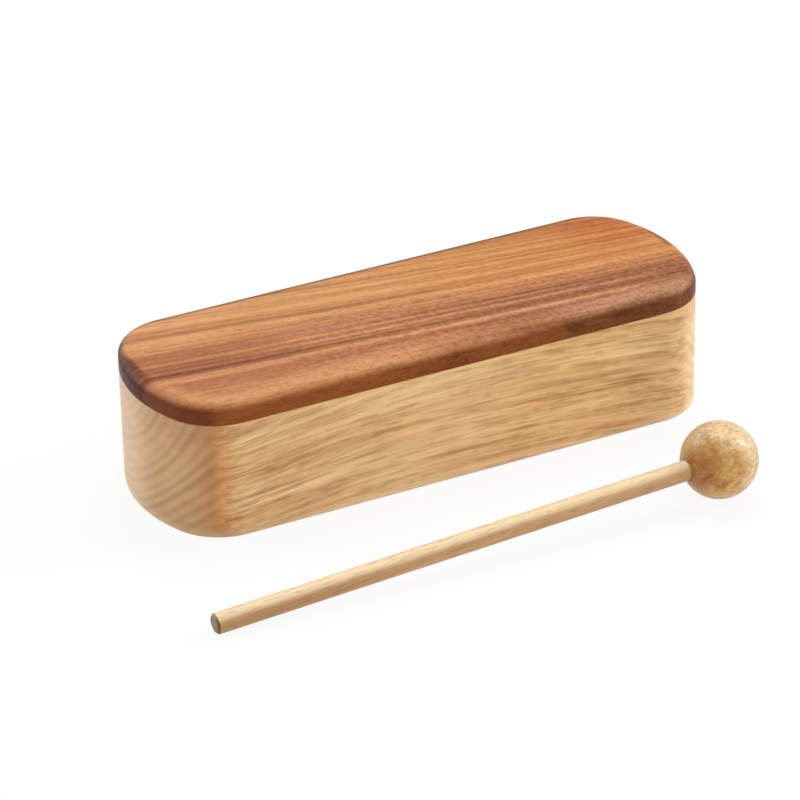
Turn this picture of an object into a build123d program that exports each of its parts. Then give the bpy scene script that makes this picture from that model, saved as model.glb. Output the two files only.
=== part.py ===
from build123d import *
import os
from math import asin, atan2, degrees, hypot, sqrt

# A two-wood block for striking, with its beater lying in front of it. The pale body is hollowed from above and
# closed by a darker playing plate glued over it. Sound leaves by a slot in the rear wall, just under the plate.
# Millimetres. The origin is the centre of the body's underside: +X along the block, +Y to its rear, +Z up.

# Outline of body and plate, seen from above
block_length = 235.0
block_width = 80.0
corner_radius = 24.0
end_radius = 64.0  # each end is a shallow arc between its two corners

# Heights and eased edges
body_height = 48.0
plate_thickness = 8.6
plate_edge_radius = 4.6
base_edge_radius = 1.6

# Chamber, routed into the body from above
side_wall = 14.0
end_wall = 22.0  # at the middle of each end
floor_thickness = 14.0
chamber_corner_radius = 10.0
chamber_floor_fillet = 3.0

# Sound slot, an open notch in the rear wall that the plate closes from above
slot_end_margin = 20.0  # from each end of the chamber to the end of the slot
slot_height = 9.0
slot_corner_radius = 4.0
slot_mouth_radius = 1.2

# Beater: a dowel glued into a blind hole in a turned ball
ball_diameter = 30.0
shaft_diameter = 8.0
shaft_reach = 211.0  # from the ball's centre to the butt end
butt_chamfer = 0.8
bore_depth = 20.0  # from the ball's surface, along the shaft
bore_clearance = 0.05  # glue line round the shaft
tip_clearance = 0.5  # glue pocket past the shaft's tip

# Where the beater lies
beater_gap = 44.0  # clear table between the block's front face and the ball
ball_setback = 38.4  # from the block's right end back to the ball's centre
beater_turn = -0.3  # degrees about the vertical, away from parallel

half_width = block_width / 2
end_centre_x = block_length / 2 - end_radius
corner_y = half_width - corner_radius
corner_x = end_centre_x + sqrt((end_radius - corner_radius) ** 2 - corner_y**2)
blend_angle = degrees(atan2(corner_y, corner_x - end_centre_x))

chamber_length = block_length - 2 * end_wall
chamber_width = block_width - 2 * side_wall
slot_length = chamber_length - 2 * slot_end_margin
slot_low = body_height - slot_height

ball_radius = ball_diameter / 2
shaft_radius = shaft_diameter / 2
bore_bottom_x = bore_depth - ball_radius


def block_outline():
    """Plan of the block: straight sides, a shallow arc at each end, and a rounder arc at each corner."""
    right_end = CenterArc((end_centre_x, 0), end_radius, -blend_angle, 2 * blend_angle)
    rear_corner = CenterArc((corner_x, corner_y), corner_radius, blend_angle, 90 - blend_angle)
    front_corner = mirror(rear_corner, about=Plane.XZ)
    right = [right_end, rear_corner, front_corner]
    left = [mirror(edge, about=Plane.YZ) for edge in right]
    rear_side = Line((-corner_x, half_width), (corner_x, half_width))
    front_side = Line((-corner_x, -half_width), (corner_x, -half_width))
    return make_face([*right, *left, rear_side, front_side])


def chamber():
    """The routed hollow, from the chamber floor up to the underside of the plate."""
    plan = RectangleRounded(chamber_length, chamber_width, chamber_corner_radius)
    hollow = Pos(0, 0, floor_thickness) * extrude(plan, body_height - floor_thickness)
    floor_edges = hollow.faces().sort_by(Axis.Z)[0].edges()
    return fillet(floor_edges, chamber_floor_fillet)


def sound_slot():
    """The notch through the rear wall, with rounded lower corners and its upper side open."""
    notch = Box(slot_length, side_wall, slot_height)
    notch = Pos(0, half_width - side_wall / 2, slot_low + slot_height / 2) * notch
    lower_corners = notch.edges().filter_by(Axis.Y).group_by(Axis.Z)[0]
    return fillet(lower_corners, slot_corner_radius)


def resonator_body():
    """Pale body with its chamber, its slot and an eased lower edge."""
    body = extrude(block_outline(), body_height)
    body = fillet(body.faces().sort_by(Axis.Z)[0].edges(), base_edge_radius)
    body = body - chamber() - sound_slot()
    rear_face = body.faces().filter_by(Axis.Y).sort_by(Axis.Y)[-1]
    reach = slot_length / 2 + slot_mouth_radius
    mouth = rear_face.edges().filter_by_position(Axis.X, -reach, reach)
    mouth = mouth.filter_by_position(Axis.Z, slot_low - slot_mouth_radius, body_height, (True, False))
    return fillet(mouth, slot_mouth_radius)


def top_plate():
    """Playing plate, flush with the body all round, with its upper edge rounded over."""
    plate = Pos(0, 0, body_height) * extrude(block_outline(), plate_thickness)
    return fillet(plate.faces().sort_by(Axis.Z)[-1].edges(), plate_edge_radius)


def beater_head():
    """Turned ball, centred on the origin, with a blind hole that opens towards -X."""
    bore_length = bore_bottom_x + ball_diameter
    bore = Cylinder(shaft_radius + bore_clearance, bore_length, rotation=(0, 90, 0))
    return Sphere(ball_radius) - Pos(bore_bottom_x - bore_length / 2, 0, 0) * bore


def beater_shaft():
    """Dowel along X, from the butt end to its tip inside the ball."""
    tip_x = bore_bottom_x - tip_clearance
    length = shaft_reach + tip_x
    shaft = Pos(tip_x - length / 2, 0, 0) * Cylinder(shaft_radius, length, rotation=(0, 90, 0))
    butt_rim = shaft.faces().sort_by(Axis.X)[0].edges()
    return chamfer(butt_rim, butt_chamfer)


def beater_place():
    """Where the beater lies: its ball and the rim of its butt end both rest on the table."""
    run = shaft_reach - butt_chamfer
    pitch = degrees(asin(ball_radius / hypot(run, shaft_radius)) - atan2(shaft_radius, run))
    ball_x = block_length / 2 - ball_setback
    ball_y = -(half_width + beater_gap + ball_radius)
    return Pos(ball_x, ball_y, ball_radius) * Rot(0, 0, beater_turn) * Rot(0, -pitch, 0)


parts = {
    "resonator_body": resonator_body(),
    "top_plate": top_plate(),
    "beater_head": beater_place() * beater_head(),
    "beater_shaft": beater_place() * beater_shaft(),
}

os.makedirs("parts", exist_ok=True)
for name, piece in parts.items():
    export_step(piece, f"parts/{name}.step")
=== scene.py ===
from math import asin, atan2, cos, hypot, pi, radians, sin, sqrt

import bmesh
import bpy
from mathutils import Matrix, Vector


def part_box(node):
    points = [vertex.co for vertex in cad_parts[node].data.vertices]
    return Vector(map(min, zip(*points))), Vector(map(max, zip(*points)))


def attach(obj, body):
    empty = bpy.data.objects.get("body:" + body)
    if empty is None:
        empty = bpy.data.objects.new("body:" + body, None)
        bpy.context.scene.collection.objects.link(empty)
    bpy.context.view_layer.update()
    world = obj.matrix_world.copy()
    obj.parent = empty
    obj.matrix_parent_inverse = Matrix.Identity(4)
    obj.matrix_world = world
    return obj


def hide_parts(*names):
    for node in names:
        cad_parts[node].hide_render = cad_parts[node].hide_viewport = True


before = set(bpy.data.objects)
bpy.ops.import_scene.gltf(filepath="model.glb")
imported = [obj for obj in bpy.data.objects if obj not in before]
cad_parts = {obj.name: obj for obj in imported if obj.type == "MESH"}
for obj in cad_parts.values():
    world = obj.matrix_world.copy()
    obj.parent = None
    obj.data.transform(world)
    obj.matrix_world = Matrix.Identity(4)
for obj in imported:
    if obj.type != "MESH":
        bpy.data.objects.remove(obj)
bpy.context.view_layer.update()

# A two-wood block for striking, with its beater lying in front of it. Every piece here takes the place of
# the solid of the same name, with eased edges and grained wood. Shapes and stage are in metres, and places
# and lengths in the woods are in millimetres.

MM = 0.001
QUARTER = pi / 2
ORIGIN = (0.0, 0.0, 0.0)
WHITE = (1.0, 1.0, 1.0, 1.0)

# Sizes read from the frame
body_low, body_high = [Vector(corner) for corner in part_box("resonator_body")]
_, plate_high = [Vector(corner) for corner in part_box("top_plate")]
ball_low, ball_high = [Vector(corner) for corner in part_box("beater_head")]
half_length = (body_high.x - body_low.x) / 2
half_width = (body_high.y - body_low.y) / 2
seam_height = body_high.z
plate_top = plate_high.z
ball_radius = (ball_high.z - ball_low.z) / 2
ball_centre = Vector((ball_high.x - ball_radius, (ball_low.y + ball_high.y) / 2, ball_radius))

# Block: plan and edges
corner_radius = 24 * MM
end_radius = 64 * MM
base_edge_radius = 1.6 * MM
plate_edge_radius = 4.6 * MM
seam_ease = 0.3 * MM  # the two arrises that meet at the seam, taken off with sandpaper

# Block: chamber and sound slot
side_wall = 14 * MM
end_wall = 22 * MM
floor_thickness = 14 * MM
chamber_corner_radius = 10 * MM
chamber_floor_fillet = 3 * MM
slot_half_length = 75.5 * MM
slot_height = 9 * MM
slot_corner_radius = 4 * MM
slot_mouth_radius = 1.2 * MM
cutter_margin = 2 * MM  # how far the slot's cutter reaches past the wood

# Beater
shaft_radius = 4 * MM
shaft_reach = 211 * MM  # from the ball's centre to the butt end
butt_chamfer = 0.8 * MM
glue_gap = 0.05 * MM
tip_gap = 0.5 * MM
bore_radius = shaft_radius + glue_gap
bore_bottom = 5 * MM  # past the ball's centre
bore_ease = 0.35 * MM
shaft_tip = bore_bottom - tip_gap
pole_radius = 0.3 * MM  # the flat that the turning tool leaves on the ball
beater_turn = radians(-0.3)

# Narrow flat rings beside the edges, so that the flat faces shade evenly
base_border = 1.6 * MM
seam_border = 0.9 * MM
top_border = 1.15 * MM
butt_border = 0.5 * MM

# Mesh steps and shading
corner_steps = 12
end_steps = 14
side_steps = 24
wall_steps = 8
edge_steps = 8
turned_steps = 72
crease_angle = radians(40)  # faces that meet at more than this keep a crisp arris

end_centre_x = half_length - end_radius
corner_y = half_width - corner_radius
corner_x = end_centre_x + sqrt((end_radius - corner_radius) ** 2 - corner_y**2)
blend_angle = atan2(corner_y, corner_x - end_centre_x)
slot_low = seam_height - slot_height


# Mesh helpers

def steps(start, end, count):
    """Evenly spaced values from start to end, both included."""
    return [start + (end - start) * k / count for k in range(count + 1)]


def arc(centre, radius, start, end, count):
    """Plan points along an arc."""
    return [(centre[0] + radius * cos(a), centre[1] + radius * sin(a)) for a in steps(start, end, count)]


def line(start, end, count):
    """Plan points along a straight run."""
    run_x = end[0] - start[0]
    run_y = end[1] - start[1]
    return [(start[0] + run_x * t, start[1] + run_y * t) for t in steps(0, 1, count)]


def ring_from_quarter(end, corner, height):
    """Closed ring from the points of its right end and of its rear right corner, repeated for the rest."""
    front_corner = [(x, -y) for x, y in reversed(corner)]
    last = corner[-1]
    rear_side = line(last, (-last[0], last[1]), side_steps)
    half = front_corner + end[1:-1] + corner + rear_side[1:-1]
    whole = half + [(-x, -y) for x, y in half]
    return [Vector((x, y, height)) for x, y in whole]


def plan_ring(inset, height):
    """The block's plan drawn in by inset: shallow arcs at the ends, rounder ones at the corners."""
    end = arc((end_centre_x, 0), end_radius - inset, -blend_angle, blend_angle, end_steps)
    corner = arc((corner_x, corner_y), corner_radius - inset, blend_angle, QUARTER, corner_steps)
    return ring_from_quarter(end, corner, height)


def chamber_ring(inset, height):
    """The chamber's plan, a rounded rectangle, drawn in by inset."""
    reach_x = half_length - end_wall - inset
    reach_y = half_width - side_wall - inset
    radius = chamber_corner_radius - inset
    corner = arc((reach_x - radius, reach_y - radius), radius, 0, QUARTER, corner_steps)
    end = line((reach_x, radius - reach_y), (reach_x, reach_y - radius), end_steps)
    return ring_from_quarter(end, corner, height)


def turned_ring(x, radius):
    """Ring of a piece turned about the X axis."""
    angles = steps(0, 2 * pi, turned_steps)[:-1]
    return [Vector((x, radius * cos(a), radius * sin(a))) for a in angles]


def skin(name, rings):
    """Closed mesh over rings with equal numbers of points, with a flat cap on the first and the last."""
    shell = bmesh.new()
    loops = [[shell.verts.new(point) for point in ring] for ring in rings]
    count = len(loops[0])
    for lower, upper in zip(loops, loops[1:]):
        for k in range(count):
            after = (k + 1) % count
            shell.faces.new((lower[k], lower[after], upper[after], upper[k]))
    shell.faces.new(reversed(loops[0]))
    shell.faces.new(loops[-1])
    bmesh.ops.recalc_face_normals(shell, faces=shell.faces)
    mesh = bpy.data.meshes.new(name)
    shell.to_mesh(mesh)
    shell.free()
    return mesh


def cut(mesh, cutter_mesh):
    """The first mesh with the second one taken out of it."""
    whole = bpy.data.objects.new("whole", mesh)
    cutter = bpy.data.objects.new("cutter", cutter_mesh)
    for thing in (whole, cutter):
        bpy.context.collection.objects.link(thing)
    modifier = whole.modifiers.new("slot", "BOOLEAN")
    modifier.operation = "DIFFERENCE"
    modifier.solver = "EXACT"
    modifier.object = cutter
    graph = bpy.context.evaluated_depsgraph_get()
    result = bpy.data.meshes.new_from_object(whole.evaluated_get(graph))
    for thing in (whole, cutter):
        bpy.data.objects.remove(thing)
    return result


def piece(name, mesh, material, node, body, place=Matrix.Identity(4)):
    """Object with smooth faces and crisp arrises that stands for a node and moves with its body."""
    mesh.shade_smooth()
    mesh.set_sharp_from_angle(angle=crease_angle)
    mesh.materials.clear()
    mesh.materials.append(material)
    thing = bpy.data.objects.new(name, mesh)
    bpy.context.collection.objects.link(thing)
    thing.matrix_world = place
    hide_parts(node)
    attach(thing, body)


# Shapes

def rounded_rise(radius, low):
    """Insets and heights of an edge that turns from a flat underside into a wall."""
    turn = steps(0, QUARTER, edge_steps)
    return [(radius * (1 - sin(a)), low + radius * (1 - cos(a))) for a in turn]


def rounded_fall(radius, high):
    """Insets and heights of an edge that turns from a wall into a flat top."""
    turn = steps(0, QUARTER, edge_steps)
    return [(radius * (1 - cos(a)), high - radius * (1 - sin(a))) for a in turn]


def body_mesh():
    """Hollow body: underside, eased edge, wall, eased arris, rim, and the chamber down to its floor."""
    wall = steps(base_edge_radius, seam_height - seam_ease, wall_steps)[1:-1]
    outside = [(base_edge_radius + base_border, 0)] + rounded_rise(base_edge_radius, 0)
    outside += [(0, height) for height in wall] + rounded_fall(seam_ease, seam_height)
    chamber = [(0, seam_height)] + rounded_rise(chamber_floor_fillet, floor_thickness)[::-1]
    rings = [plan_ring(inset, height) for inset, height in outside]
    rings += [chamber_ring(inset, height) for inset, height in chamber]
    return cut(skin("resonator_body_wood", rings), slot_cutter())


def slot_section(grow, y):
    """Outline of the sound slot at depth y, widened by grow, with an open top above the wood."""
    radius = slot_corner_radius + grow
    reach = slot_half_length + grow
    low = slot_low - grow
    high = seam_height + cutter_margin
    right = [(reach, high)] + arc((reach - radius, low + radius), radius, 0, -QUARTER, corner_steps)
    left = [(-x, z) for x, z in reversed(right)]
    return [Vector((x, y, z)) for x, z in right + left]


def slot_cutter():
    """The slot's space, with a mouth that widens in a quarter round at the rear face."""
    inner = half_width - side_wall - cutter_margin
    mouth = rounded_fall(slot_mouth_radius, half_width)
    sections = [slot_section(0, inner)] + [slot_section(grow, y) for grow, y in mouth]
    sections += [slot_section(slot_mouth_radius, half_width + cutter_margin)]
    return skin("slot_cutter", sections)


def plate_mesh():
    """Playing plate: eased lower arris, short wall and a rounded-over upper edge."""
    edge = [(seam_ease + seam_border, seam_height)] + rounded_rise(seam_ease, seam_height)
    edge += rounded_fall(plate_edge_radius, plate_top)
    edge += [(plate_edge_radius + top_border, plate_top)]
    return skin("top_plate_wood", [plan_ring(inset, height) for inset, height in edge])


def ball_mesh():
    """Turned ball round the origin, with an eased blind hole that opens towards -X."""
    mouth = asin((bore_radius + bore_ease) / ball_radius)
    rings = [turned_ring(bore_bottom, bore_radius)]
    rings += [turned_ring(bore_ease - ball_radius * cos(mouth), bore_radius)]
    surface = steps(mouth, pi - pole_radius / ball_radius, turned_steps)
    rings += [turned_ring(-ball_radius * cos(a), ball_radius * sin(a)) for a in surface]
    return skin("beater_head_wood", rings)


def shaft_mesh():
    """Dowel along X with a chamfered butt end."""
    butt_radius = shaft_radius - butt_chamfer
    length = steps(butt_chamfer - shaft_reach, shaft_tip, turned_steps)
    rings = [turned_ring(-shaft_reach, butt_radius - butt_border)]
    rings += [turned_ring(-shaft_reach, butt_radius)]
    rings += [turned_ring(x, shaft_radius) for x in length]
    return skin("beater_shaft_wood", rings)


def beater_place():
    """Where the beater lies: its ball and the rim of its butt end both rest on the table."""
    run = shaft_reach - butt_chamfer
    pitch = asin(ball_radius / hypot(run, shaft_radius)) - atan2(shaft_radius, run)
    turn = Matrix.Rotation(beater_turn, 4, "Z") @ Matrix.Rotation(-pitch, 4, "Y")
    return Matrix.Translation(ball_centre) @ turn


# Material helpers

def srgb(red, green, blue):
    """Linear colour from 0 to 255 screen values."""
    def linear(value):
        share = value / 255
        return share / 12.92 if share <= 0.04045 else ((share + 0.055) / 1.055) ** 2.4
    return (linear(red), linear(green), linear(blue), 1.0)


class Nodes:
    """Node tree of one material or world. Every input is either a socket or a plain value."""

    def __init__(self, owner):
        owner.use_nodes = True
        self.owner = owner
        self.tree = owner.node_tree
        self.tree.nodes.clear()

    def add(self, kind, inputs, **settings):
        node = self.tree.nodes.new(kind)
        for name, value in settings.items():
            setattr(node, name, value)
        for key, value in inputs.items():
            if isinstance(value, bpy.types.NodeSocket):
                self.tree.links.new(value, node.inputs[key])
            else:
                node.inputs[key].default_value = value
        return node

    def math(self, operation, *values):
        return self.add("ShaderNodeMath", dict(enumerate(values)), operation=operation).outputs[0]

    def plus(self, first, *others):
        for other in others:
            first = self.math("ADD", first, other)
        return first

    def times(self, first, *others):
        for other in others:
            first = self.math("MULTIPLY", first, other)
        return first

    def place(self):
        """Place on the piece in millimetres, in the piece's own frame."""
        coordinates = self.add("ShaderNodeTexCoord", {}).outputs["Object"]
        scaled = self.add("ShaderNodeVectorMath", {0: coordinates, "Scale": 1 / MM}, operation="SCALE")
        return scaled.outputs[0]

    def facing(self, axis):
        """How far the surface faces along an axis of the piece, either way, from 0 to 1."""
        direction = self.split(self.add("ShaderNodeTexCoord", {}).outputs["Normal"])
        return self.math("ABSOLUTE", direction[axis])

    def split(self, vector):
        return self.add("ShaderNodeSeparateXYZ", {0: vector}).outputs

    def join(self, x, y, z):
        return self.add("ShaderNodeCombineXYZ", {0: x, 1: y, 2: z}).outputs[0]

    def turned(self, vector, axis, angle):
        inputs = {"Vector": vector, "Angle": angle}
        return self.add("ShaderNodeVectorRotate", inputs, rotation_type=axis + "_AXIS").outputs[0]

    def distance(self, first, second):
        return self.add("ShaderNodeVectorMath", {0: first, 1: second}, operation="DISTANCE").outputs["Value"]

    def noise(self, place, lengths, detail=2.0, roughness=0.5):
        """Noise from 0 to 1 whose features have the given lengths along the three axes."""
        scale = [1 / length for length in lengths]
        scaled = self.add("ShaderNodeVectorMath", {0: place, 1: scale}, operation="MULTIPLY").outputs[0]
        inputs = {"Vector": scaled, "Scale": 1.0, "Detail": detail, "Roughness": roughness}
        return self.add("ShaderNodeTexNoise", inputs).outputs["Fac"]

    def patches(self, place, lengths, low, high, detail=2.0, roughness=0.5):
        """Soft patches: zero where such a noise is under low, one where it is over high."""
        return self.span(self.noise(place, lengths, detail, roughness), low, high)

    def sway(self, place, lengths, reach):
        """Slow drift of up to about reach either way."""
        return self.times(self.plus(self.noise(place, lengths, 1.0), -0.5), 2 * reach)

    def span(self, value, low, high, to_low=0.0, to_high=1.0):
        """Smooth change from to_low to to_high as value goes from low to high."""
        inputs = {0: value, 1: low, 2: high, 3: to_low, 4: to_high}
        return self.add("ShaderNodeMapRange", inputs, interpolation_type="SMOOTHSTEP").outputs[0]

    def band(self, value, middle, reach):
        """One at middle, falling to zero at reach on both sides."""
        return self.span(self.math("ABSOLUTE", self.math("SUBTRACT", value, middle)), 0.0, reach, 1.0, 0.0)

    def mix(self, factor, first, second, blend="MIX"):
        inputs = {0: factor, 6: first, 7: second}
        return self.add("ShaderNodeMix", inputs, data_type="RGBA", blend_type=blend).outputs[2]

    def tint(self, factor, colour, shade):
        """Colour multiplied by shade where factor is one."""
        return self.mix(factor, colour, (*shade, 1.0), "MULTIPLY")

    def seen(self):
        """One for the rays that show the plain white stage: camera, mirrored and see-through ones."""
        rays = self.add("ShaderNodeLightPath", {}).outputs
        passed_on = self.math("MAXIMUM", rays["Is Glossy Ray"], rays["Is Transmission Ray"])
        return self.math("MAXIMUM", rays["Is Camera Ray"], passed_on)

    def finish(self, colour, roughness, height, bump, specular, gloss, gloss_roughness):
        """Lacquered wood: coloured surface with fine relief, height from 0 to 1 over bump metres."""
        strength = 0.6
        relief = self.add("ShaderNodeBump", {"Strength": strength, "Distance": bump, "Height": height})
        inputs = {"Base Color": colour, "Roughness": roughness, "Normal": relief.outputs[0],
                  "Specular IOR Level": specular, "Coat Weight": gloss, "Coat Roughness": gloss_roughness}
        surface = self.add("ShaderNodeBsdfPrincipled", inputs)
        self.add("ShaderNodeOutputMaterial", {"Surface": surface.outputs[0]})
        return self.owner


# Body wood

def growth_rings(nodes, place, y, height):
    """Late wood, from 0 to 1, in uneven rings round a pith that lies above the rear of the body."""
    pith = (0.0, 26.6, 81.7)
    ring_width = 3.9
    radius = nodes.distance(nodes.join(0.0, y, height), pith)
    season = nodes.noise(nodes.join(radius, 0.0, 0.0), (9, 1, 1), detail=1.0)
    wander = nodes.sway(place, (240, 30, 30), 0.3)
    age = nodes.plus(nodes.times(radius, 1 / ring_width), wander, season)
    ring = nodes.band(nodes.math("FRACT", age), 0.5, 0.45)
    return nodes.times(ring, nodes.span(season, 0.35, 0.65, 0.25, 0.9))


def body_wood():
    """Pale hardwood: bowed grain with broken lines, streaks and pores on the sides, rings on the ends."""
    grain_bow = 0.00067  # rise of the grain for each square millimetre along X
    cream = srgb(255, 219, 161)
    straw = srgb(249, 207, 145)
    rose = srgb(238, 181, 130)
    amber = srgb(230, 164, 104)
    painted_haze = srgb(246, 214, 176)
    painted_floor_bounce = srgb(252, 226, 182)
    nodes = Nodes(bpy.data.materials.new("body_wood"))
    place = nodes.place()
    x, y, z = nodes.split(place)
    bow = nodes.times(x, x, grain_bow)
    height = nodes.plus(z, bow, nodes.sway(place, (110, 45, 45), 1.6))
    grain = nodes.join(x, y, height)

    # Where on the body: ends, which blend into the sides more slowly at the rear corners, then sides,
    # left part, front left corner, lower right part, and darker wood at mid height off the middle
    end_facing = nodes.facing(0)
    blend_start = nodes.span(y, -10.0, 15.0, 0.34, 0.10)
    blend_end = nodes.span(y, -10.0, 15.0, 0.56, 0.88)
    end = nodes.span(end_facing, blend_start, blend_end)
    side = nodes.math("SUBTRACT", 1.0, end)
    left = nodes.span(x, 0.0, -80.0)
    corner = nodes.times(nodes.band(end_facing, 0.44, 0.44), left, nodes.span(y, 10.0, -15.0))
    low_right = nodes.times(nodes.span(x, 45.0, 75.0), nodes.span(z, 22.0, 10.0))
    from_middle = nodes.math("ABSOLUTE", nodes.plus(x, 2.0))
    off_middle = nodes.times(nodes.span(from_middle, 18.0, 34.0), nodes.span(from_middle, 96.0, 76.0))
    heart = nodes.times(off_middle, nodes.band(height, 27.5, 11.0), 0.85)

    # Figure, from broad to fine
    broad = nodes.patches(grain, (130, 16, 8), 0.38, 0.62)
    rosy = nodes.patches(grain, (45, 20, 4), 0.5, 0.68)
    flame = nodes.patches(grain, (60, 12, 4.5), 0.44, 0.66)
    streak = nodes.patches(grain, (36, 3.2, 1.5), 0.45, 0.62, detail=3.0, roughness=0.6)
    long_streak = nodes.patches(grain, (120, 6, 1.5), 0.50, 0.68, detail=1.0)
    thread = nodes.patches(grain, (27, 2.3, 1.3), 0.42, 0.62)
    breaks = nodes.span(nodes.noise(grain, (7, 3, 2.7), detail=1.0), 0.40, 0.60, 0.25, 1.0)
    fibre = nodes.patches(grain, (16, 0.8, 0.5), 0.3, 0.7)
    fine = nodes.times(fibre, nodes.span(side, 0.0, 1.0, 0.4, 1.0))
    clump = nodes.span(nodes.noise(grain, (60, 20, 9), detail=1.0), 0.42, 0.62, 0.22, 0.6)
    figured = nodes.times(nodes.math("MAXIMUM", clump, heart), side)
    pores = nodes.times(nodes.patches(grain, (8, 0.8, 0.6), 0.60, 0.74, detail=0.0), figured)
    ring_strength = nodes.times(nodes.span(end, 0.0, 1.0, 0.35, 1.0), nodes.span(x, 70.0, 105.0, 1.0, 0.7))
    late = nodes.times(growth_rings(nodes, place, y, height), ring_strength)

    # Colour of the sides and their figure
    colour = nodes.mix(broad, cream, straw)
    colour = nodes.mix(nodes.times(rosy, nodes.span(end, 0.0, 1.0, 0.7, 0.3)), colour, rose)
    colour = nodes.mix(nodes.times(rosy, low_right, side, 0.7), colour, amber)
    colour = nodes.tint(nodes.times(side, nodes.span(x, -10.0, 50.0)), colour, (1.0, 0.98, 0.90))
    colour = nodes.tint(nodes.times(side, nodes.span(x, 62.0, 88.0)), colour, (0.87, 0.86, 0.86))
    flame_strength = nodes.times(side, nodes.span(heart, 0.0, 1.0, 0.2, 0.55))
    colour = nodes.tint(nodes.times(flame, flame_strength), colour, (0.80, 0.72, 0.62))
    colour = nodes.tint(nodes.times(heart, side, 0.2), colour, (0.90, 0.80, 0.68))
    streak_strength = nodes.plus(figured, nodes.times(end, 0.06))
    colour = nodes.tint(nodes.times(streak, streak_strength), colour, (0.63, 0.52, 0.40))
    colour = nodes.tint(nodes.times(long_streak, figured), colour, (0.74, 0.62, 0.49))
    colour = nodes.tint(nodes.times(thread, breaks, side), colour, (0.78, 0.69, 0.58))
    colour = nodes.tint(fine, colour, (0.93, 0.90, 0.87))
    colour = nodes.tint(late, colour, (0.74, 0.67, 0.58))
    colour = nodes.tint(nodes.times(pores, 0.6), colour, (0.68, 0.58, 0.48))

    # Browner end grain and front left corner, partly painted shade; painted haze at the far left, painted
    # floor bounce light low down
    # End grain browns the ends; its fading towards the right end is painted light from the right lamp
    colour = nodes.tint(nodes.times(end, nodes.span(x, 30.0, 100.0, 1.0, 0.35)), colour, (0.70, 0.60, 0.55))
    # Painted shade on the ends just under the plate
    colour = nodes.tint(nodes.times(end, nodes.span(z, 34.0, 47.0), 0.6), colour, (0.84, 0.80, 0.80))
    # Front left corner browner: partly end grain, partly painted shade where little light reaches it
    colour = nodes.tint(corner, colour, (0.90, 0.66, 0.48))
    # Painted haze: a pale reflection of the white surround on the rear part of the left end
    colour = nodes.mix(nodes.times(end, left, nodes.span(y, -18.0, 3.0), 0.4), colour, painted_haze)
    # Painted bounce light from the white floor, paler towards the lower edge
    colour = nodes.mix(nodes.span(z, 5.0, 0.6, 0.0, 0.4), colour, painted_floor_bounce)
    roughness = nodes.span(streak, 0.0, 1.0, 0.38, 0.5)
    relief = nodes.math("SUBTRACT", fine, nodes.times(pores, 0.8))
    return nodes.finish(colour, roughness, relief, bump=0.02 * MM,
                        specular=0.5, gloss=0.08, gloss_roughness=0.3)


# Plate wood

def grain_line(nodes, x, across, place, reach, start, end, strength):
    """Line in the plate's grain, at a place across the stripes, from start to end along X."""
    fade = 18.0
    inside = nodes.times(nodes.span(x, start - fade, start), nodes.span(x, end + fade, end))
    return nodes.times(nodes.band(across, place, reach), inside, strength)


def plate_lines(nodes, colour, x, across):
    """The plate's colour with its single pale and dark lines drawn in."""
    sand = srgb(228, 164, 116)
    # Place across the stripes, reach to both sides, start and end along X, strength
    pale_lines = [
        (-14.3, 1.8, -60.0, 85.0, 0.5),
        (-9.8, 1.0, -40.0, 40.0, 0.4),
        (-23.8, 1.8, -105.0, -65.0, 0.5),
        (-22.9, 2.4, 15.0, 78.0, 0.5),
        (-37.8, 2.8, 16.0, 42.0, 0.6),
    ]
    dark_lines = [
        (-18.2, 2.5, -130.0, 130.0, 1.0),
        (-16.0, 9.0, -130.0, -60.0, 0.5),
        (-12.6, 1.5, -125.0, -90.0, 0.5),
        (-9.0, 4.5, -105.0, -65.0, 0.4),
        (-27.7, 3.5, -100.0, -40.0, 0.45),
        (-26.8, 2.5, -20.0, 60.0, 0.4),
        (-9.8, 4.5, -35.0, 115.0, 0.4),
        (-11.6, 0.9, -55.0, 115.0, 0.55),
        (-7.9, 0.8, -25.0, 115.0, 0.55),
        (-5.0, 0.8, 0.0, 115.0, 0.4),
        (-8.0, 4.0, 30.0, 115.0, 0.4),
        (-1.8, 2.4, 45.0, 115.0, 0.5),
        (8.8, 2.6, -100.0, 5.0, 0.55),
        (17.0, 1.8, 15.0, 95.0, 0.5),
    ]
    for pale_line in pale_lines:
        colour = nodes.mix(grain_line(nodes, x, across, *pale_line), colour, sand)
    for dark_line in dark_lines:
        colour = nodes.tint(grain_line(nodes, x, across, *dark_line), colour, (0.62, 0.48, 0.35))
    return colour


def inward(nodes, x, y):
    """Way in from the plate's outline, right at the sides and near enough at the ends."""
    straight_x = (half_length - corner_radius) / MM
    straight_y = (half_width - corner_radius) / MM
    past_x = nodes.math("MAXIMUM", nodes.math("SUBTRACT", nodes.math("ABSOLUTE", x), straight_x), 0.0)
    past_y = nodes.math("MAXIMUM", nodes.math("SUBTRACT", nodes.math("ABSOLUTE", y), straight_y), 0.0)
    past = nodes.distance(nodes.join(past_x, past_y, 0.0), ORIGIN)
    return nodes.math("SUBTRACT", corner_radius / MM, past)


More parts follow.
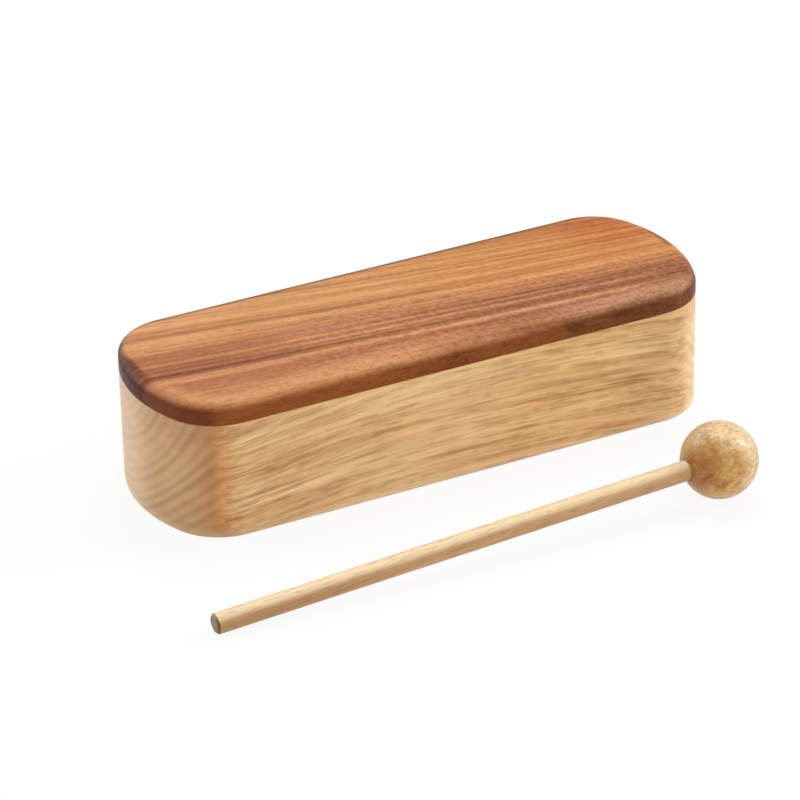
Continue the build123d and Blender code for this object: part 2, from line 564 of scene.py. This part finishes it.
def plate_edge(nodes, colour, place, x, y, way_in):
    """The plate's colour with painted shade on its rounded edge and rear rim, darker end grain, and mottled
    brown at the front right.
    """
    edge = nodes.span(nodes.facing(2), 0.95, 0.25)
    end = nodes.span(nodes.facing(0), 0.3, 0.6)
    rear_rim_shade = nodes.times(nodes.span(way_in, 5.8, 3.8), nodes.span(y, -10.0, 5.0))
    mottle = nodes.patches(place, (15, 6, 5), 0.42, 0.62)
    from_gap = nodes.math("ABSOLUTE", nodes.plus(x, -25.0))
    off_gap = nodes.span(from_gap, 5.0, 20.0)
    mottled = nodes.times(nodes.span(x, -20.0, 0.0), off_gap, nodes.span(x, 100.0, 75.0))
    # Painted shade along the rear rounded edge, where it turns away
    colour = nodes.tint(rear_rim_shade, colour, (0.38, 0.28, 0.18))
    # Painted shade: the rounded edge and sides darker than the top
    colour = nodes.tint(edge, colour, (0.46, 0.29, 0.12))
    colour = nodes.tint(nodes.times(edge, edge, mottle, mottled), colour, (0.66, 0.54, 0.28))
    return nodes.tint(nodes.times(edge, end), colour, (0.66, 0.50, 0.56))


def plate_wood():
    """Reddish-brown hardwood with long stripes that run askew and fan out, honey-coloured at the rear."""
    lean = 0.115  # how far the stripes move across the plate for each millimetre along it
    fan = 0.0016  # how much more they lean for each millimetre towards the rear
    red_corner_place = (104.0, 26.0, 0.0)
    chestnut = srgb(189, 121, 74)
    honey = srgb(214, 155, 96)
    ochre = srgb(206, 139, 69)
    light_honey = srgb(225, 164, 108)
    rosewood = srgb(202, 147, 110)
    apricot = srgb(230, 166, 108)
    greyish_pale = srgb(204, 158, 124)
    pale_front_left = srgb(220, 156, 104)
    pale_dot = srgb(236, 180, 134)
    nodes = Nodes(bpy.data.materials.new("plate_wood"))
    place = nodes.place()
    x, y, z = nodes.split(place)
    tilt = nodes.plus(nodes.times(y, fan), lean)
    across = nodes.plus(y, nodes.times(x, tilt), nodes.sway(place, (90, 30, 60), 1.0))
    grain = nodes.join(x, across, z)

    # Where on the plate
    rear = nodes.span(across, -6.0, 10.0)
    right = nodes.span(x, -30.0, 90.0)
    far_left = nodes.span(x, -50.0, -95.0)
    front_right = nodes.times(nodes.span(across, -4.0, -12.0), nodes.span(x, -20.0, 40.0))
    red_corner = nodes.span(nodes.distance(nodes.join(x, y, 0.0), red_corner_place), 38.0, 6.0)
    middle = nodes.times(nodes.band(across, -4.0, 12.0), nodes.band(x, -35.0, 45.0))
    way_in = inward(nodes, x, y)
    rim = nodes.times(nodes.span(way_in, 15.0, 6.0), nodes.span(x, 30.0, -35.0), nodes.span(y, -8.0, -20.0))
    pale_front_stripe = nodes.times(nodes.span(y, -28.0, -33.0), nodes.span(x, 30.0, 65.0))
    # Painted shade on the front roundover towards the right end
    shade = nodes.times(nodes.span(y, -36.5, -38.5), nodes.span(x, 60.0, 78.0))

    # Figure, from broad to fine
    broad = nodes.patches(grain, (420, 6, 20), 0.36, 0.64, detail=1.0)
    pale = nodes.patches(grain, (320, 3.4, 12), 0.50, 0.68, detail=1.0)
    calm = nodes.span(rear, 0.0, 1.0, 1.0, 0.7)
    stripe = nodes.times(nodes.patches(grain, (360, 2.4, 9), 0.46, 0.64), calm)
    thin = nodes.times(nodes.patches(grain, (220, 1, 6), 0.50, 0.68, detail=1.0), calm)
    fibre = nodes.noise(grain, (32, 0.8, 0.6))
    stipple = nodes.noise(grain, (1.7, 1.9, 1.4), detail=1.0)
    stippled = nodes.times(nodes.span(across, 14.0, -2.0, 0.4, 1.0), nodes.span(x, -80.0, -10.0, 0.5, 1.0))
    dark_dots = nodes.times(nodes.span(stipple, 0.48, 0.68), stippled)
    pale_dots = nodes.times(nodes.span(stipple, 0.48, 0.30), stippled)
    pores = nodes.patches(grain, (7, 0.7, 0.6), 0.60, 0.74, detail=0.0)

    # Colour, from the ground up
    colour = nodes.mix(rear, chestnut, honey)
    colour = nodes.mix(nodes.times(rear, right), colour, ochre)
    colour = nodes.tint(nodes.times(front_right, 0.95), colour, (0.80, 0.76, 0.66))
    colour = nodes.tint(red_corner, colour, (0.93, 0.70, 0.60))
    colour = nodes.mix(nodes.times(rear, far_left), colour, light_honey)
    colour = nodes.mix(nodes.times(middle, 0.4), colour, rosewood)
    colour = nodes.tint(broad, colour, (0.86, 0.83, 0.80))
    colour = nodes.mix(nodes.times(pale, 0.45), colour, apricot)
    colour = nodes.tint(nodes.times(stripe, 0.9), colour, (0.73, 0.61, 0.52))
    colour = nodes.tint(nodes.times(thin, 0.55), colour, (0.75, 0.65, 0.56))
    colour = plate_lines(nodes, colour, x, across)
    # Pale greyish stripe along the front edge on the right half
    colour = nodes.mix(nodes.times(pale_front_stripe, 0.45), colour, greyish_pale)
    # Painted shade where the front roundover turns down at the right
    colour = nodes.tint(shade, colour, (0.80, 0.80, 0.79))
    # Paler band on the top along the front left edge
    colour = nodes.mix(nodes.times(rim, 0.8), colour, pale_front_left)
    colour = nodes.tint(nodes.span(fibre, 0.3, 0.7), colour, (0.89, 0.86, 0.83))
    colour = nodes.tint(nodes.times(dark_dots, 0.65), colour, (0.66, 0.59, 0.54))
    colour = nodes.mix(nodes.times(pale_dots, 0.12), colour, pale_dot)
    colour = nodes.tint(nodes.times(pores, 0.5), colour, (0.66, 0.56, 0.48))
    colour = plate_edge(nodes, colour, place, x, y, way_in)
    roughness = nodes.span(fibre, 0.3, 0.7, 0.38, 0.5)
    relief = nodes.math("SUBTRACT", fibre, nodes.times(pores, 0.8))
    return nodes.finish(colour, roughness, relief, bump=0.025 * MM,
                        specular=0.14, gloss=0.0, gloss_roughness=0.3)


# Beater woods

def ball_wood():
    """Pale wood, golden brown towards the shaft partly as painted shade, pale top partly painted highlight,
    mottled, flecked.
    """
    brown_shaded_side = (-9.5, -10.5, 1.5)
    red_shaded_side = (-13.0, -6.0, 2.0)
    cream = srgb(240, 211, 162)
    straw = srgb(230, 194, 139)
    gold = srgb(227, 177, 95)
    deep_gold = srgb(211, 153, 72)
    russet = srgb(174, 108, 46)
    tan = srgb(230, 190, 134)
    nodes = Nodes(bpy.data.materials.new("ball_wood"))
    place = nodes.place()
    x, _, z = nodes.split(place)
    brown = nodes.span(nodes.distance(place, brown_shaded_side), 16.0, 8.0)
    red = nodes.span(nodes.distance(place, red_shaded_side), 13.0, 4.0)
    cloud = nodes.patches(place, (7, 6, 5), 0.36, 0.64)
    upper = nodes.span(z, -9.0, -1.0, 0.1, 1.0)
    browner = nodes.span(brown, 0.0, 1.0, 0.4, 0.9)
    blotch = nodes.times(nodes.patches(place, (4.6, 3.8, 3.3), 0.48, 0.68), upper, browner)
    mottle = nodes.patches(place, (1.9, 1.4, 1.3), 0.32, 0.68, detail=3.0, roughness=0.6)
    pores = nodes.patches(place, (2.2, 0.6, 0.5), 0.60, 0.76, detail=0.0)
    # Cream away from the brown side is partly painted highlight, the gold towards it partly painted shade
    colour = nodes.mix(brown, nodes.mix(cloud, cream, straw), nodes.mix(cloud, gold, deep_gold))
    # Russet on the left: partly wood tone, partly painted shade
    colour = nodes.mix(nodes.times(red, 0.65), colour, russet)
    # Paler lower half: painted bounce light from the floor
    colour = nodes.mix(nodes.span(z, -1.0, -11.0, 0.0, 0.7), colour, tan)
    colour = nodes.tint(blotch, colour, (0.70, 0.52, 0.36))
    colour = nodes.tint(mottle, colour, (0.76, 0.66, 0.56))
    # Greyer right side: a painted tint for the reflection of the white surround
    colour = nodes.tint(nodes.span(x, 4.0, 13.0), colour, (0.87, 0.95, 1.0))
    colour = nodes.tint(nodes.times(pores, 0.45), colour, (0.70, 0.58, 0.48))
    roughness = nodes.span(mottle, 0.0, 1.0, 0.40, 0.5)
    relief = nodes.math("SUBTRACT", mottle, pores)
    return nodes.finish(colour, roughness, relief, bump=0.04 * MM,
                        specular=0.4, gloss=0.3, gloss_roughness=0.38)


def shaft_wood():
    """Dowel with a painted highlight of pale cream on its upper side, short pores a little askew, a dark
    butt end.
    """
    grain_turn = radians(4)
    tan = srgb(208, 164, 112)
    brown = srgb(190, 142, 90)
    cream = srgb(244, 217, 172)
    nodes = Nodes(bpy.data.materials.new("shaft_wood"))
    place = nodes.place()
    _, y, z = nodes.split(place)
    grain = nodes.turned(place, "Y", grain_turn)
    end = nodes.span(nodes.facing(0), 0.55, 0.75)
    outer = nodes.span(nodes.distance(nodes.join(0.0, y, z), ORIGIN), 1.6, 3.0)
    painted_top_highlight = nodes.span(z, 1.6, 3.4)
    broad = nodes.patches(grain, (110, 5, 5), 0.36, 0.64)
    fibre = nodes.noise(grain, (14, 0.7, 0.6))
    pores = nodes.patches(grain, (7, 0.9, 0.7), 0.56, 0.72, detail=1.0)
    colour = nodes.mix(broad, tan, brown)
    # Painted highlight: the upper side paler in cream
    colour = nodes.mix(painted_top_highlight, colour, cream)
    colour = nodes.tint(nodes.span(fibre, 0.3, 0.7), colour, (0.90, 0.87, 0.84))
    colour = nodes.tint(nodes.times(pores, 0.6), colour, (0.70, 0.60, 0.50))
    colour = nodes.tint(end, colour, (0.52, 0.44, 0.27))
    colour = nodes.tint(nodes.times(end, outer), colour, (0.50, 0.46, 0.36))
    roughness = nodes.span(fibre, 0.3, 0.7, 0.40, 0.5)
    relief = nodes.math("SUBTRACT", fibre, nodes.times(pores, 0.8))
    return nodes.finish(colour, roughness, relief, bump=0.03 * MM,
                        specular=0.4, gloss=0.2, gloss_roughness=0.38)


# Stage

def white_floor():
    """Wide pale floor that shows white to the camera and keeps soft shadows."""
    reach = 4.0
    low = -0.1 * MM  # clear of the underside, which would share its plane
    grey = (0.9, 0.9, 0.9, 1.0)
    white_share = 0.91  # the rest shows the floor as it is lit, with its shadows
    mesh = bpy.data.meshes.new("floor")
    corners = [(-reach, -reach, low), (reach, -reach, low), (reach, reach, low), (-reach, reach, low)]
    mesh.from_pydata(corners, [], [(0, 1, 2, 3)])
    nodes = Nodes(bpy.data.materials.new("floor_white"))
    lit = nodes.add("ShaderNodeBsdfDiffuse", {"Color": grey}).outputs[0]
    glow = nodes.add("ShaderNodeEmission", {"Color": WHITE, "Strength": 1.0}).outputs[0]
    share = nodes.times(nodes.seen(), white_share)
    surface = nodes.add("ShaderNodeMixShader", {0: share, 1: lit, 2: glow}).outputs[0]
    nodes.add("ShaderNodeOutputMaterial", {"Surface": surface})
    mesh.materials.append(nodes.owner)
    floor = bpy.data.objects.new("floor", mesh)
    bpy.context.collection.objects.link(floor)


def white_world():
    """White surround for the camera and for reflections, and an even fill for the rest."""
    fill_strength = 0.32
    nodes = Nodes(bpy.data.worlds.new("white_surround"))
    fill = nodes.add("ShaderNodeBackground", {"Color": WHITE, "Strength": fill_strength}).outputs[0]
    white = nodes.add("ShaderNodeBackground", {"Color": WHITE, "Strength": 1.0}).outputs[0]
    surface = nodes.add("ShaderNodeMixShader", {0: nodes.seen(), 1: fill, 2: white}).outputs[0]
    nodes.add("ShaderNodeOutputWorld", {"Surface": surface})
    bpy.context.scene.world = nodes.owner


def softbox(name, place, size, power):
    """Square area lamp, in watts, that faces the middle of the block."""
    lamp = bpy.data.lights.new(name, "AREA")
    lamp.size = size
    lamp.energy = power
    thing = bpy.data.objects.new(name, lamp)
    thing.location = place
    aim = Vector((0, 0, seam_height / 2)) - thing.location
    thing.rotation_euler = aim.to_track_quat("-Z", "Y").to_euler()
    bpy.context.collection.objects.link(thing)


def camera():
    """Long lens, slid sideways and down so that block and beater sit in the frame as photographed."""
    azimuth = radians(-26.83)
    elevation = radians(28.18)
    roll = radians(-1.17)
    distance = 1.5687
    slide_right = -4.94 * MM
    slide_up = -11.56 * MM
    back = Vector((sin(azimuth) * cos(elevation), -cos(azimuth) * cos(elevation), sin(elevation)))
    right = Vector((cos(azimuth), sin(azimuth), 0))
    up = back.cross(right)
    place = Vector((0, 0, plate_top / 2)) + back * distance + right * slide_right + up * slide_up
    side = right * cos(roll) + up * sin(roll)
    top = up * cos(roll) - right * sin(roll)
    data = bpy.data.cameras.new("camera")
    data.sensor_width = 36
    data.lens = 181.87
    thing = bpy.data.objects.new("camera", data)
    thing.matrix_world = Matrix.Translation(place) @ Matrix((side, top, back)).transposed().to_4x4()
    bpy.context.collection.objects.link(thing)
    bpy.context.scene.camera = thing


piece("resonator_body_wood", body_mesh(), body_wood(), "resonator_body", "block")
piece("top_plate_wood", plate_mesh(), plate_wood(), "top_plate", "block")
lying = beater_place()
piece("beater_head_wood", ball_mesh(), ball_wood(), "beater_head", "beater", lying)
piece("beater_shaft_wood", shaft_mesh(), shaft_wood(), "beater_shaft", "beater", lying)

white_floor()
white_world()
softbox("overhead", (0.3, 0.5, 1.3), size=0.8, power=9)
softbox("right", (1.3, -0.3, 0.8), size=0.7, power=12)
softbox("left_rear", (-0.95, 0.95, 0.6), size=0.8, power=8)
softbox("front_fill", (0.0, -1.7, 0.7), size=1.4, power=7)
camera()
bpy.context.scene.view_settings.view_transform = "Standard"
